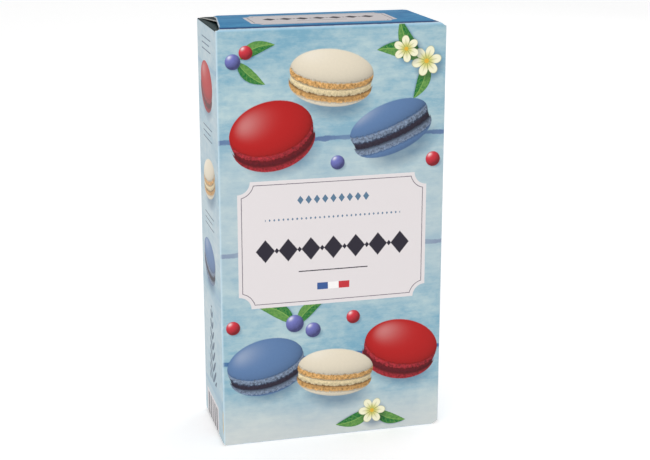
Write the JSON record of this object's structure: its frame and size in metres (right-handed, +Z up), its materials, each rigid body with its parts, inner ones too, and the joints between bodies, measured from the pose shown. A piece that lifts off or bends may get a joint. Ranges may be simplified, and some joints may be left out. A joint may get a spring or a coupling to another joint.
{
  "type": "printed folding carton for macarons",
  "caption": "Shut upright folding carton of printed board, with glued end flaps, for small filled biscuits; it stands on its closed base.",
  "frame": {"origin": "on the surface it stands on, under the middle of the carton", "axes": "+Z up, the front panel faces -Y, +X to the right seen from the front"},
  "size_m": [0.11, 0.05, 0.202],
  "materials": {
    "printed_board": "white folding boxboard with a printed face and a semi-gloss varnish"
  },
  "bodies": {
    "root": {"carton": "printed_board"}
  },
  "joints": []
}
